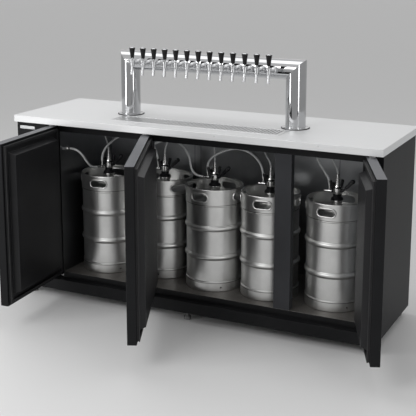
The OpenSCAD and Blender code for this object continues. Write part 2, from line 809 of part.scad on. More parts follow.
// Lever with its grip, raised about the pin
module coupler_lever(i) {
    color("black")
    translate([keg_x[i] + lever_x, keg_y[i], neck_z + lever_z]) rotate([0, -lever_rise, 0])
    difference() {
        union() {
            translate([0, lever_w / 2, 0]) rotate([90, 0, 0]) cylinder(r = lever_hub_r, h = lever_w);
            translate([0, -lever_w / 2, -lever_t / 2]) cube([lever_l, lever_w, lever_t]);
            translate([lever_l, 0, -lever_t / 2]) cylinder(d = lever_w, h = lever_t);
            translate([lever_l * grip_share, -lever_w / 2 - lever_grip, -lever_t / 2 - lever_grip])
                cube([lever_l * (1 - grip_share), lever_w + 2 * lever_grip, lever_t + 2 * lever_grip]);
            translate([lever_l, 0, 0]) sphere(r = lever_knob_r);
        }
        translate([0, lever_w, 0]) rotate([90, 0, 0])
            cylinder(r = lever_pin_r + lever_fit, h = 2 * lever_w);
    }
}

module coupler_lever_1() { coupler_lever(0); }
module coupler_lever_2() { coupler_lever(1); }
module coupler_lever_3() { coupler_lever(2); }
module coupler_lever_4() { coupler_lever(3); }
module coupler_lever_5() { coupler_lever(4); }

// Nut and hose tail, along +Z from the origin
module hose_tail(l) {
    cylinder(r = nut_hex_r, h = tail_nut_h, $fn = 6);
    translate([0, 0, tail_nut_h])
        cylinder(r1 = nut_hex_r * tail_neck_share, r2 = tail_r, h = tail_nut_h / 2);
    cylinder(r = tail_r, h = l);
}

// Tee on a coupler's gas inlet, from the end of its spigot, with tails to the left and upwards
module gas_tee() {
    inlet_end = coupler_r + inlet_r;
    translate([-inlet_end, 0, 0]) rotate([0, -90, 0]) cylinder(r = tee_r, h = tee_x - inlet_end + tee_r);
    translate([-tee_x - tee_r, 0, 0]) rotate([0, -90, 0]) cylinder(r = tail_r, h = tee_tail_l - tee_r);
    translate([-tee_x, 0, 0]) cylinder(r = tail_r, h = gas_tail_l);
}

// Plated fittings: tails on the couplers and the sockets on the roof
module line_fittings() {
    color("silver") {
        for (i = [0 : kegs - 1]) translate([keg_x[i], keg_y[i], neck_z]) {
            translate([0, 0, coupler_h]) hose_tail(beer_tail_l);
            translate([0, 0, inlet_z]) rotate([0, 0, gas_turns[i]]) gas_tee();
        }
        for (p = concat(beer_high, [gas_high])) translate([p[0], p[1], roof_z])
            mirror([0, 0, 1]) hose_tail(roof_tail_l);
        translate([cold_left, gas_source[1], gas_source[2]]) rotate([0, 90, 0])
            hose_tail(gas_source[0] - cold_left);
    }
}

// Ring of a hose's section at point i of its route
function hose_dir(path, i) =
    let (a = path[max(i - 1, 0)], b = path[min(i + 1, len(path) - 1)]) (b - a) / norm(b - a);
function hose_side(d) = let (s = cross(d, abs(d[2]) < 0.9 ? [0, 0, 1] : [0, 1, 0])) s / norm(s);
function hose_ring(path, i, side, d_out) =
    let (d = hose_dir(path, i), u = side - (side * d) * d, n = u / norm(u), b = cross(d, n))
    [for (k = [0 : hose_sides - 1]) let (a = 360 * k / hose_sides)
        path[i] + d_out / 2 * (cos(a) * n + sin(a) * b)];
function hose_sides_of(path, i = 0, side = undef) =
    let (d = hose_dir(path, i), s = side == undef ? hose_side(d) : side - (side * d) * d)
    i == len(path) - 1 ? [s / norm(s)] : concat([s / norm(s)], hose_sides_of(path, i + 1, s / norm(s)));

// A hose swept along the points of its route
module hose(path, d_out) {
    n = hose_sides;
    sides = hose_sides_of(path);
    rings = [for (i = [0 : len(path) - 1]) each hose_ring(path, i, sides[i], d_out)];
    last = (len(path) - 1) * n;
    polyhedron(rings, concat(
        [[for (k = [0 : n - 1]) k]],
        [for (i = [0 : len(path) - 2], k = [0 : n - 1]) let (m = (k + 1) % n)
            each [[i * n + k, (i + 1) * n + k, (i + 1) * n + m], [i * n + k, (i + 1) * n + m, i * n + m]]],
        [[for (k = [n - 1 : -1 : 0]) last + k]]));
}

module beer_lines() {
    color("lightgray") for (i = [0 : kegs - 1]) hose(beer_routes[i], beer_hose_d);
}

module gas_lines() {
    color("lightgray") for (r = gas_routes) hose(r, gas_hose_d);
}

// Half-space over a mitre whose low side is on the left or right
module mitre_cut(x, side) {
    size = 4 * tube_d;
    translate([x, 0, bar_z]) rotate([0, side * 45, 0]) translate([-size / 2, -size / 2, 0]) cube(size);
}

// Columns with their flanges, mitred at the top
module tower_columns() {
    color("silver")
    translate([0, mid_y, 0]) for (s = [-1, 1]) difference() {
        union() {
            translate([s * tower_w / 2, 0, bar_h]) cylinder(d = flange_d, h = flange_t, $fn = fine);
            translate([s * tower_w / 2, 0, bar_h]) cylinder(d = tube_d, h = tower_h + tube_d, $fn = fine);
        }
        translate([s * tower_w / 2, 0, bar_h - cut])
            cylinder(r = tube_r - tube_wall, h = tower_h + tube_d + 2 * cut, $fn = fine);
        mitre_cut(s * tower_w / 2, -s);
        for (i = [0 : flange_bolts - 1]) translate([s * tower_w / 2, 0, bar_h - cut])
            rotate([0, 0, (i + 0.5) * 360 / flange_bolts]) translate([flange_pcd / 2, 0, 0])
                cylinder(r = flange_bolt_r, h = flange_t + 2 * cut);
    }
}

// Crossbar with mitred ends and a hole for each tap's shank
module tower_crossbar() {
    bar_l = tower_w + 2 * tube_d;
    color("silver")
    translate([0, mid_y, bar_z]) difference() {
        rotate([0, 90, 0]) cylinder(d = tube_d, h = bar_l, center = true, $fn = fine);
        rotate([0, 90, 0]) cylinder(r = tube_r - tube_wall, h = bar_l + 2 * cut, center = true, $fn = fine);
        for (s = [-1, 1]) translate([s * tower_w / 2, 0, 0]) rotate([0, s * 135, 0])
            translate([-2 * tube_d, -2 * tube_d, 0]) cube(4 * tube_d);
        for (i = [0 : taps - 1]) translate([tap_first + i * tap_pitch, 0, 0])
            rotate([90, 0, 0]) cylinder(r = shank_r + shank_fit, h = tube_d);
    }
}

// Shank with its collar fitted to the round of the tube, and the nut inside
module tap_shank() {
    difference() {
        rotate([90, 0, 0]) {
            translate([0, 0, tube_r - shank_in])
                cylinder(r = shank_r, h = shank_in + shank_collar_l + shank_end);
            translate([0, 0, tube_r - shank_collar_r])
                cylinder(r = shank_collar_r, h = shank_collar_l + shank_collar_r);
        }
        difference() {
            rotate([0, 90, 0]) cylinder(r = tube_r + gap, h = 4 * shank_r, center = true, $fn = fine);
            rotate([90, 0, 0]) cylinder(r = shank_r, h = tube_d);
        }
    }
    rotate([90, 0, 0]) translate([0, 0, tube_r - tube_wall - shank_nut_l - shank_nut_gap])
        cylinder(r = shank_nut_r, h = shank_nut_l, $fn = 6);
}

module tap_shanks() {
    color("silver")
    for (i = [0 : taps - 1]) translate([tap_first + i * tap_pitch, mid_y, bar_z]) tap_shank();
}

// Faucet: coupling nut, barrel, valve body with the lever's cup under its bonnet, and spout
module faucet() {
    difference() {
        union() {
            rotate([90, 0, 0]) {
                translate([0, 0, shank_face]) {
                    cylinder(r = nut_r, h = nut_l);
                    cylinder(r = barrel_r, h = tap_reach - shank_face);
                }
                translate([0, 0, shank_face + nut_l]) cylinder(r1 = nut_r, r2 = barrel_r, h = nut_step);
            }
            translate([0, -tap_reach, 0]) {
                translate([0, 0, -valve_low]) cylinder(r = valve_r, h = valve_low + bonnet_top - bonnet_h);
                translate([0, 0, -valve_low - valve_taper])
                    cylinder(r1 = spout_r, r2 = valve_r, h = valve_taper);
                translate([0, 0, bonnet_top - bonnet_h]) cylinder(r = bonnet_r, h = bonnet_h);
                rotate([-spout_tilt, 0, 0]) mirror([0, 0, 1]) cylinder(r = spout_r, h = spout_drop);
            }
        }
        rotate([90, 0, 0]) cylinder(r = shank_r + shank_fit, h = shank_face + shank_end + gap);
        translate([0, -tap_reach, 0]) rotate([-spout_tilt, 0, 0]) translate([0, 0, -spout_drop - cut])
            cylinder(r = spout_bore_r, h = spout_bore_l + cut);
        translate([0, -tap_reach, handle_ball_z]) {
            sphere(r = handle_ball_r + gap);
            translate([-handle_stem_r - 2 * gap, -bonnet_slot, handle_stem_r / 2])
                cube([2 * handle_stem_r + 4 * gap, bonnet_slot + handle_stem_r + 2 * gap, bonnet_top]);
        }
    }
}

module faucet_bodies() {
    color("silver")
    for (i = [0 : taps - 1]) translate([tap_first + i * tap_pitch, mid_y, bar_z]) faucet();
}

// Tap handle about its ball: stem, ferrule, black taper and plated cap
module tap_handle(i) {
    top = handle_top - handle_ball_z;
    cap_z = top - handle_cap_l;
    low = cap_z - handle_black_l;
    color("black")
    translate([tap_first + i * tap_pitch, mid_y - tap_reach, bar_z + handle_ball_z]) {
        sphere(r = handle_ball_r);
        cylinder(r = handle_stem_r, h = low);
        translate([0, 0, low - ferrule_h]) cylinder(r = ferrule_r, h = ferrule_h);
        translate([0, 0, low]) cylinder(r1 = handle_slim_r, r2 = handle_wide_r, h = handle_black_l);
        translate([0, 0, cap_z]) cylinder(r = handle_wide_r + cap_lip, h = cap_rim_h);
        intersection() {
            translate([0, 0, top - cap_sphere_r]) sphere(r = cap_sphere_r, $fn = fine);
            translate([0, 0, cap_z + cap_rim_h]) cylinder(r = handle_wide_r + cap_lip, h = handle_cap_l);
        }
    }
}

module tap_handle_01() { tap_handle(0); }
module tap_handle_02() { tap_handle(1); }
module tap_handle_03() { tap_handle(2); }
module tap_handle_04() { tap_handle(3); }
module tap_handle_05() { tap_handle(4); }
module tap_handle_06() { tap_handle(5); }
module tap_handle_07() { tap_handle(6); }
module tap_handle_08() { tap_handle(7); }
module tap_handle_09() { tap_handle(8); }
module tap_handle_10() { tap_handle(9); }
module tap_handle_11() { tap_handle(10); }
module tap_handle_12() { tap_handle(11); }
module tap_handle_13() { tap_handle(12); }

// Hermetic compressor on its mounting plate
module compressor() {
    x = (left_end + bulkhead_x) / 2;
    y = mid_y + comp_y;
    color("dimgray")
    translate([x, y, base_top]) {
        translate([-comp_r, -comp_r, 0]) round_slab([2 * comp_r, 2 * comp_r, comp_plate_t], comp_plate_t);
        for (a = [-1, 1], b = [-1, 1])
            translate([a * comp_r * comp_foot_share, b * comp_r * comp_foot_share, 0])
                cylinder(r = comp_foot_r, h = comp_foot_h);
        translate([0, 0, comp_plate_t]) cylinder(r = comp_r - comp_seam, h = comp_h, $fn = fine);
        translate([0, 0, comp_plate_t + comp_h / 2]) cylinder(r = comp_r, h = comp_seam_h, $fn = fine);
        intersection() {
            translate([0, 0, comp_plate_t + comp_h - comp_r * comp_drop_share])
                sphere(r = comp_r * comp_dome_share, $fn = fine);
            translate([0, 0, comp_plate_t + comp_h]) cylinder(r = comp_r - comp_seam, h = comp_r);
        }
    }
}

// Finned coil with end plates, a fan rail and the fan's shaft; the coil faces -Y
module coil_unit(l, h) {
    plates = floor(l / fin_pitch);
    rail_y = coil_t + 2 * fan_play + fan_t;
    for (i = [0 : plates]) translate([-l / 2 + i * (l - fin_t) / plates, 0, 0]) cube([fin_t, coil_t, h]);
    for (z = [coil_tube_r * 2 : 4 * coil_tube_r : h - coil_tube_r * 2], y = [coil_in, coil_t - coil_in])
        translate([-l / 2, y, z]) rotate([0, 90, 0]) cylinder(r = coil_tube_r, h = l);
    for (s = [-1, 1]) translate([s * (l - fin_t) / 2 - fin_t / 2, 0, 0])
        cube([fin_t, rail_y + rail_t, h]);
    translate([-l / 2, rail_y, h / 2 - rail_h / 2]) cube([l, rail_t, rail_h]);
    translate([0, rail_y + rail_t, h / 2]) rotate([90, 0, 0]) {
        cylinder(r = fan_hub_r, h = rail_t);
        cylinder(r = fan_shaft_r, h = rail_t + fan_play + fan_t);
    }
}

// Fan about a shaft along Y, from its rear face
module fan_blades(r) {
    difference() {
        union() {
            rotate([90, 0, 0]) cylinder(r = fan_hub_r, h = fan_t);
            for (i = [0 : fan_blade_count - 1]) rotate([0, i * 360 / fan_blade_count, 0])
                translate([0, -fan_t / 2, 0]) rotate([0, 0, fan_blade_pitch])
                    translate([-fan_blade_w / 2, -fan_blade_t / 2, 0]) cube([fan_blade_w, fan_blade_t, r]);
        }
        translate([0, cut, 0]) rotate([90, 0, 0]) cylinder(r = fan_shaft_r + fan_fit, h = fan_t + 2 * cut);
    }
}

module condenser() {
    color("silver") translate(cond_pos) coil_unit(cond_l, cond_h);
}

module condenser_fan() {
    color("black") translate(cond_pos + [0, coil_t + fan_play + fan_t, cond_h / 2]) fan_blades(fan_r);
}

module evaporator() {
    color("silver") translate(evap_pos) rotate([0, 0, 180]) coil_unit(evap_l, evap_h);
}

module evaporator_fan() {
    color("black") translate(evap_pos + [0, -coil_t - fan_play - fan_t, evap_h / 2]) rotate([0, 0, 180])
        fan_blades(evap_h / 2 - fan_play);
}

worktop();
drip_tray();
drip_grid();
roof_panel();
back_panel();
left_bulkhead();
left_side_cover();
right_wall();
floor_panel();
header_rail();
base_frame();
mullions();
louvre_panel();
feet();
left_door_shell();
left_door_liner();
left_door_seal();
middle_door_shell();
middle_door_liner();
middle_door_seal();
right_door_shell();
right_door_liner();
right_door_seal();
hinge_brackets();
keg_1();
keg_2();
keg_3();
keg_4();
keg_5();
coupler_bodies();
coupler_lever_1();
coupler_lever_2();
coupler_lever_3();
coupler_lever_4();
coupler_lever_5();
line_fittings();
beer_lines();
gas_lines();
tower_columns();
tower_crossbar();
tap_shanks();
faucet_bodies();
tap_handle_01();
tap_handle_02();
tap_handle_03();
tap_handle_04();
tap_handle_05();
tap_handle_06();
tap_handle_07();
tap_handle_08();
tap_handle_09();
tap_handle_10();
tap_handle_11();
tap_handle_12();
tap_handle_13();
compressor();
condenser();
condenser_fan();
evaporator();
evaporator_fan();
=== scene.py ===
"""Draft beer dispenser: black keg cooler with open doors and a polished pass-through tap tower."""

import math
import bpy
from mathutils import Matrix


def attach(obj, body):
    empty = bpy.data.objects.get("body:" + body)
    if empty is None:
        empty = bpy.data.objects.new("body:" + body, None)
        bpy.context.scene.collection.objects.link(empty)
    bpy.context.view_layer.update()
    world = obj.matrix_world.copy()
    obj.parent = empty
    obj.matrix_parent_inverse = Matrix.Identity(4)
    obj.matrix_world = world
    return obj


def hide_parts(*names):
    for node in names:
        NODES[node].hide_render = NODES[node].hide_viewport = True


bl_info = {
    "name": "Draft Beer Dispenser",
    "version": (1, 0, 0),
    "blender": (4, 5, 0),
    "location": "View3D > Sidebar > Dispenser",
    "description": "Dresses the keg cooler, its tap tower, kegs and hoses",
    "category": "Object",
}

import bmesh
import bpy
from bpy.props import FloatProperty, FloatVectorProperty, PointerProperty
from mathutils import Matrix, Vector

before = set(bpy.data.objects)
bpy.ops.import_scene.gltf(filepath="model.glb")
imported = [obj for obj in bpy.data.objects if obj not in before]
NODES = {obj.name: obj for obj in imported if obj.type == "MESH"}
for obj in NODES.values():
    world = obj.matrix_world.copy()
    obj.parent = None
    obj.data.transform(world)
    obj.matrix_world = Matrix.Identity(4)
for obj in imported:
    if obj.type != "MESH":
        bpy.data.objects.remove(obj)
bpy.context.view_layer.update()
KEGS = [f"keg_{i}" for i in range(1, 6)]
LEVERS = [f"coupler_lever_{i}" for i in range(1, 6)]
HANDLES = [f"tap_handle_{i:02d}" for i in range(1, 14)]
DOORS = ("left_door", "middle_door", "right_door")
MM = 1000

# Routes of the hoses, in millimetres, as in the part's source: out of a fitting, to the next
BEER_ROUTES = [
    [(-656, 243, 866), (-656, 243, 874), (-658, 242, 896), (-663, 241, 917), (-669, 239, 939),
     (-674, 237, 960), (-676, 236, 982), (-676, 236, 990)],
    [(-304, 304, 866), (-304, 304, 874), (-301, 303, 896), (-293, 299, 917), (-283, 296, 939),
     (-275, 292, 960), (-272, 291, 982), (-272, 291, 990)],
    [(56, 235, 866), (56, 235, 874), (56, 235, 896), (55, 234, 917), (55, 233, 939),
     (54, 232, 960), (54, 231, 982), (54, 231, 990)],
    [(400, 236, 866), (400, 236, 874), (396, 236, 896), (384, 237, 917), (370, 238, 939),
     (359, 239, 960), (354, 239, 982), (354, 239, 990)],
    [(785, 245, 866), (785, 245, 874), (781, 244, 896), (773, 243, 917), (762, 241, 939),
     (754, 239, 960), (750, 239, 982), (750, 239, 990)],
]
GAS_ROUTES = [
    [(-813, 64, 900), (-805, 64, 900), (-774, 65, 896), (-751, 70, 883), (-735, 80, 863),
     (-727, 92, 840), (-721, 106, 818), (-716, 124, 797), (-710, 146, 782), (-696, 173, 776),
     (-692, 180, 776)],
    [(-678, 204, 804), (-678, 204, 812), (-677, 206, 836), (-670, 211, 866), (-654, 220, 896),
     (-628, 238, 926), (-594, 264, 953), (-550, 292, 971), (-502, 314, 975), (-456, 325, 961),
     (-415, 326, 932), (-382, 319, 895), (-360, 310, 855), (-350, 304, 826), (-349, 304, 812),
     (-349, 304, 804)],
    [(-377, 304, 776), (-385, 304, 776), (-421, 302, 784), (-443, 297, 806), (-451, 289, 836),
     (-443, 279, 866), (-421, 268, 890), (-385, 257, 914), (-335, 247, 940), (-280, 239, 960),
     (-225, 233, 970), (-178, 229, 962), (-140, 227, 938), (-115, 226, 905), (-100, 227, 872),
     (-95, 229, 838), (-87, 231, 808), (-65, 234, 785), (-25, 235, 776), (-17, 235, 776)],
    [(11, 235, 804), (11, 235, 812), (21, 222, 860), (48, 199, 893), (83, 181, 921),
     (124, 172, 945), (169, 171, 963), (216, 177, 972), (262, 189, 965), (302, 204, 942),
     (331, 219, 907), (349, 231, 864), (356, 236, 812), (356, 236, 804)],
    [(668, 229, 990), (668, 229, 982), (674, 230, 949), (688, 232, 922), (704, 236, 897),
     (719, 239, 871), (733, 243, 845), (740, 245, 812), (740, 245, 804)],
]

# Kegs: their axes, the turn of their hand holes in degrees, and the heights of what runs round
KEG_PLACES = [(-0.65591, 0.24319), (-0.30398, 0.30404), (0.05605, 0.23516), (0.40046, 0.23573),
              (0.78494, 0.24491)]
KEG_TURNS = [-82, -32, -97, -84, -92]
KEG_HOOPS = (0.3502, 0.5183)
KEG_BEADS = (0.2062, 0.6476)
KEG_WELD_SHADOWS = (0.2003, 0.6532)
KEG_WALL = 0.1609

# Turned profiles, as radius and height in millimetres; a ring ends at its first point
SHANK = [(0.0, 766.0), (22.0, 766.0), (24.4, 766.6), (24.4, 772.4), (23.4, 773.2),
         (23.4, 790.0), (24.0, 790.6), (24.0, 795.4), (23.2, 796.4), (16.0, 812.6),
         (15.8, 820.0), (15.8, 827.4), (13.0, 828.4), (13.4, 829.4), (13.4, 836.6),
         (12.6, 837.6), (9.8, 838.4), (9.8, 843.0), (11.6, 844.0), (11.6, 849.6),
         (10.8, 850.6), (8.2, 851.2), (7.6, 864.0), (8.0, 865.0), (8.0, 871.4),
         (7.2, 872.4), (0.0, 872.4)]
FOOT_RING = [(32.0, 726.6), (34.8, 726.6), (35.8, 727.8), (35.8, 733.2), (34.8, 734.4),
             (32.0, 734.4), (32.0, 726.6)]
HORN = [(0.0, 0.0), (5.5, 0.0), (7.0, 2.0), (6.4, 18.0), (7.8, 36.0), (9.0, 48.0),
        (8.4, 52.0), (5.6, 55.0), (0.0, 56.0)]
GRIP = [(0.0, 19.0), (6.6, 19.0), (8.6, 21.5), (9.4, 40.0), (10.4, 62.0), (11.0, 74.0),
        (0.0, 78.0)]

# Horns: directions round the shank and lean in degrees, distance from its axis, and height
HORN_SIDES = (206, 60)
HORN_LEAN = 14
HORN_OUT = 0.0245
HORN_LEVEL = 0.785

# Levers: the pin's distance along X from the keg's axis, its height, and the arm's rise
PIN_OUT = 0.031
PIN_LEVEL = 0.784
LEVER_RISE = 45

# Tower: the columns' axes and their flanges
COLUMNS = ((-0.5205, 0.289), (0.5205, 0.289))
GASKET_RADIUS = 0.0785
GASKET_THICK = 0.0036
GASKET_LEVEL = 1.0978
FLANGE_TOP = 1.102
BOLT_CIRCLE = 0.0655

# Screws in the worktop's front edge, and the plate's size and middle
SCREWS_X = (0.195, 0.778)
WORKTOP_FRONT = -0.061
SCREW_LEVEL = 1.083
SCREW_RADIUS = 0.0045
SCREW_RISE = 0.0018
PLATE_SIZE = (0.104, 0.0022, 0.018)
PLATE_MIDDLE = (-1.030, -0.0471, 1.0265)

# Planes in the frame at which a finish changes
DOOR_TOP = 1.0472
RIGHT_FACE = 1.0405
BULKHEAD_FACE = -0.8415
BACK_FACE = 0.5835
BACK_SEAMS = (-0.247, -0.206, 0.684)
PAN_EDGE = 0.1494
HANDLE_STEM = 1.4478
HANDLE_CAP = 1.5062

# Lamps: name, place, aim (straight down without one), size, share of the lamps' power
LAMPS = (
    ("Key", (-1.2, -3.8, 3.4), (0.0, 0.2, 0.8), (2.6, 1.6), 0.72),
    ("Top", (-0.9, 0.4, 4.3), None, (5.0, 2.2), 0.52),
    ("Left strip", (-2.7, -2.9, 1.35), (0.0, 0.2, 1.1), (0.5, 1.7), 0.30),
    ("Right strip", (3.7, -2.2, 1.35), (0.2, 0.2, 1.1), (0.4, 1.7), 0.15),
)
WORLD_LIGHT = 0.46
FLOOR_SIZE = 60.0

# Sockets of a Mix node that are only known by number: for colours, then for values
MIX_FACTOR = 0
MIX_A, MIX_B, MIX_RESULT = 6, 7, 2
BLEND_A, BLEND_B, BLEND_RESULT = 2, 3, 0


# Sizes and colours that a user would change

def colour_property(name, description, default):
    return FloatVectorProperty(name=name, description=description, size=3, subtype="COLOR",
                               default=default, min=0.0, max=1.0)


def length_property(name, description, default, low, high):
    return FloatProperty(name=name, description=description, default=default, min=low,
                         max=high, unit="LENGTH")


class StageSettings(bpy.types.PropertyGroup):
    """Camera, floor and lamps"""
    camera_place: FloatVectorProperty(
        name="Camera", description="Place of the camera", size=3, subtype="TRANSLATION",
        unit="LENGTH", default=(2.413, -4.644, 2.098))
    camera_turn: FloatVectorProperty(
        name="Camera turn", description="Turn of the camera", size=3, subtype="EULER",
        unit="ROTATION", default=(math.radians(78.18), 0.0, math.radians(26.19)))
    lens: FloatProperty(
        name="Lens", description="Focal length of the camera in millimetres", default=84.6,
        min=20.0)
    rise: FloatProperty(
        name="Shift", description="Upward shift of the lens as a share of the frame",
        default=-0.15, min=-0.4, max=0.4)
    floor_colour: colour_property("Floor", "Colour of the floor and the backdrop",
                                  (0.80, 0.80, 0.80))
    lamp_power: FloatProperty(
        name="Lamps", description="Power of the soft lamps in watts", default=90.0, min=0.0)


class FinishSettings(bpy.types.PropertyGroup):
    """Colours of the finishes"""
    paint: colour_property("Paint", "Black textured paint of the cabinet",
                           (0.0075, 0.0077, 0.0084))
    sheet: colour_property("Sheet", "Grey sheet of the cold room", (0.46, 0.47, 0.485))
    worktop: colour_property("Worktop", "Satin steel of the worktop", (0.74, 0.745, 0.75))
    keg: colour_property("Keg", "Brushed steel of the kegs", (0.67, 0.67, 0.66))
    chrome: colour_property("Chrome", "Polished plating of the tower and taps",
                            (0.51, 0.515, 0.525))
    hose: colour_property("Hose", "Cloudy plastic of the hoses", (0.62, 0.63, 0.63))


class TrimSettings(bpy.types.PropertyGroup):
    """Sizes of the hoses and the small trim"""
    beer_hose: length_property("Beer hose", "Diameter of a beer hose", 0.0095, 0.006, 0.013)
    gas_hose: length_property("Gas hose", "Diameter of a gas hose", 0.013, 0.008, 0.013)
    bolt: length_property("Bolt", "Radius of a flange bolt's head", 0.0065, 0.004, 0.009)
    hole_rim: length_property("Hand hole rim", "Radius of the rolled edge of a hand hole",
                              0.0048, 0.002, 0.006)
    rib: length_property("Keg rib", "Height of a rolled rib round a keg", 0.035, 0.024, 0.05)


# Materials

def add(tree, kind, **values):
    """A node of this kind, with its plain settings."""
    node = tree.nodes.new("ShaderNode" + kind)
    for key, value in values.items():
        setattr(node, key, value)
    return node


def give(node, **values):
    """Plain values on a node's sockets; an underscore stands for a space in a name."""
    for key, value in values.items():
        node.inputs[key.replace("_", " ")].default_value = value
    return node


def wire(tree, source, output, target, socket):
    tree.links.new(source.outputs[output], target.inputs[socket])


def shade(colour, factor):
    return tuple(value * factor for value in colour)


def new_group(name, inputs, outputs):
    """An empty shader group with its named sockets."""
    group = bpy.data.node_groups.new(name, "ShaderNodeTree")
    for socket, kind, default in inputs:
        made = group.interface.new_socket(socket, in_out="INPUT", socket_type="NodeSocket" + kind)
        if default is not None:
            made.default_value = default
    for socket, kind in outputs:
        group.interface.new_socket(socket, in_out="OUTPUT", socket_type="NodeSocket" + kind)
    return group, group.nodes.new("NodeGroupInput"), group.nodes.new("NodeGroupOutput")


def grain_group():
    """Fine grain or brushed lines, drawn out by a stretch along each axis."""
    group, given, result = new_group(
        "Grain",
        [("Vector", "Vector", None), ("Stretch", "Vector", (1.0, 1.0, 1.0)),
         ("Scale", "Float", 200.0), ("Low", "Float", 0.3), ("High", "Float", 0.5)],
        [("Value", "Float"), ("Height", "Float")])
    stretch = add(group, "VectorMath", operation="MULTIPLY")
    wire(group, given, "Vector", stretch, 0)
    wire(group, given, "Stretch", stretch, 1)
    noise = give(add(group, "TexNoise"), Detail=3.0)
    wire(group, stretch, 0, noise, "Vector")
    wire(group, given, "Scale", noise, "Scale")
    spread = give(add(group, "MapRange"), From_Min=0.3, From_Max=0.7)
    wire(group, noise, "Fac", spread, "Value")
    wire(group, given, "Low", spread, "To Min")
    wire(group, given, "High", spread, "To Max")
    wire(group, spread, "Result", result, "Value")
    wire(group, noise, "Fac", result, "Height")
    return group


def clouds_group():
    """Soft, broad change between two colours, such as dust, stain and uneven sheen."""
    group, given, result = new_group(
        "Clouds",
        [("Vector", "Vector", None), ("Scale", "Float", 4.0),
         ("Colour", "Color", (0.5, 0.5, 0.5, 1.0)), ("Stain", "Color", (0.4, 0.4, 0.4, 1.0))],
        [("Colour", "Color"), ("Mask", "Float")])
    noise = give(add(group, "TexNoise"), Detail=4.0, Roughness=0.6)
    wire(group, given, "Vector", noise, "Vector")
    wire(group, given, "Scale", noise, "Scale")
    ramp = give(add(group, "MapRange"), From_Min=0.35, From_Max=0.7)
    wire(group, noise, "Fac", ramp, "Value")
    mix = add(group, "Mix", data_type="RGBA")
    wire(group, ramp, "Result", mix, MIX_FACTOR)
    wire(group, given, "Colour", mix, MIX_A)
    wire(group, given, "Stain", mix, MIX_B)
    wire(group, mix, MIX_RESULT, result, "Colour")
    wire(group, ramp, "Result", result, "Mask")
    return group


def edge_group():
    """Rounded shading at sharp edges, and a mask of those edges."""
    group, given, result = new_group(
        "Soft Edge", [("Radius", "Float", 0.002)], [("Normal", "Vector"), ("Mask", "Float")])
    bevel = add(group, "Bevel", samples=6)
    wire(group, given, "Radius", bevel, "Radius")
    shape = add(group, "NewGeometry")
    dot = add(group, "VectorMath", operation="DOT_PRODUCT")
    wire(group, bevel, "Normal", dot, 0)
    wire(group, shape, "True Normal", dot, 1)
    mask = give(add(group, "MapRange"), From_Min=0.995, From_Max=0.85)
    wire(group, dot, "Value", mask, "Value")
    wire(group, bevel, "Normal", result, "Normal")
    wire(group, mask, "Result", result, "Mask")
    return group


GROUPS = {}
FINISHES = {}


